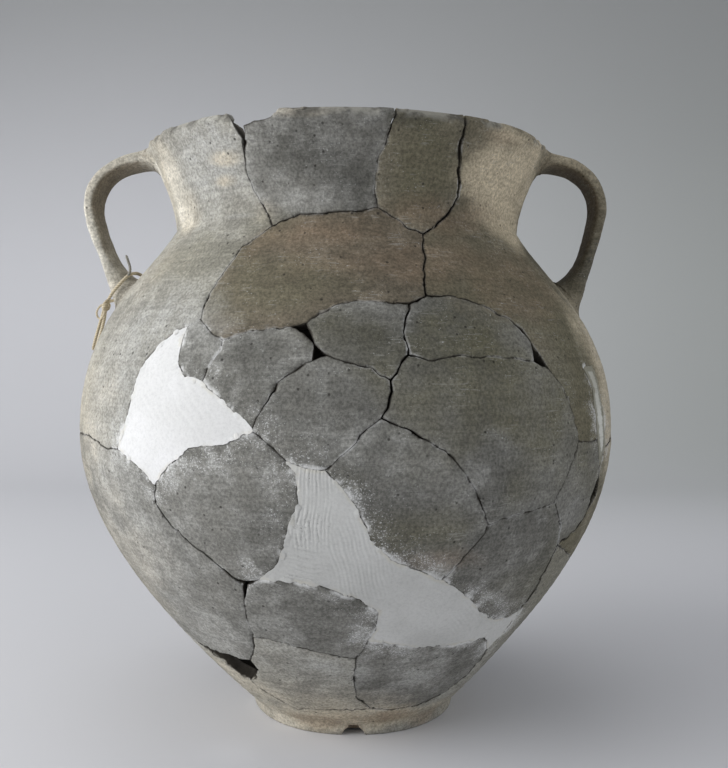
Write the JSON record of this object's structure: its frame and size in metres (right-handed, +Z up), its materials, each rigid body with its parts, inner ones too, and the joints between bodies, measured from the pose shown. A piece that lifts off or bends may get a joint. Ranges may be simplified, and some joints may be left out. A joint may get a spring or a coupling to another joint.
{
  "type": "mended two-handled pottery jar",
  "caption": "Wide-mouthed pottery jar with two strap handles and a ring foot, mended from sherds with plaster fills, a string tied round one handle",
  "frame": {"origin": "on the ground, under the middle of the jar's box with its handles", "axes": "+Z up through the mouth, +X towards the right handle, -Y towards the front"},
  "size_m": [0.3307, 0.3296, 0.35],
  "materials": {
    "grey_clay": "unglazed fired clay, smoke-grey, rough",
    "buff_clay": "unglazed fired clay, buff, rough",
    "red_clay": "unglazed fired clay, grey-red, rough",
    "olive_clay": "unglazed fired clay, olive-brown, rough",
    "plaster": "smoothed gypsum plaster",
    "cotton": "twisted cotton string"
  },
  "bodies": {
    "root": {"base": "buff_clay", "belly_back_left": "grey_clay", "belly_back_right": "grey_clay", "belly_centre": "grey_clay", "belly_left_low": "grey_clay", "belly_left_side": "grey_clay", "belly_right": "grey_clay", "belly_right_low": "grey_clay", "belly_right_side": "olive_clay", "belly_right_strip": "grey_clay", "belly_under_right": "grey_clay", "bottom_front_left": "buff_clay", "bottom_front_right": "grey_clay", "fill_front": "plaster", "fill_left": "plaster", "fill_right": "plaster", "lower_front_left": "grey_clay", "neck_back": "buff_clay", "neck_front_left": "grey_clay", "neck_front_right": "olive_clay", "shoulder_back_left": "grey_clay", "shoulder_back_right": "grey_clay", "shoulder_disc": "grey_clay", "shoulder_front": "red_clay", "shoulder_mid_left": "grey_clay", "shoulder_right": "grey_clay", "shoulder_small_left": "grey_clay", "side_left": "buff_clay", "side_right": "olive_clay", "tie_string": "cotton"}
  },
  "joints": []
}
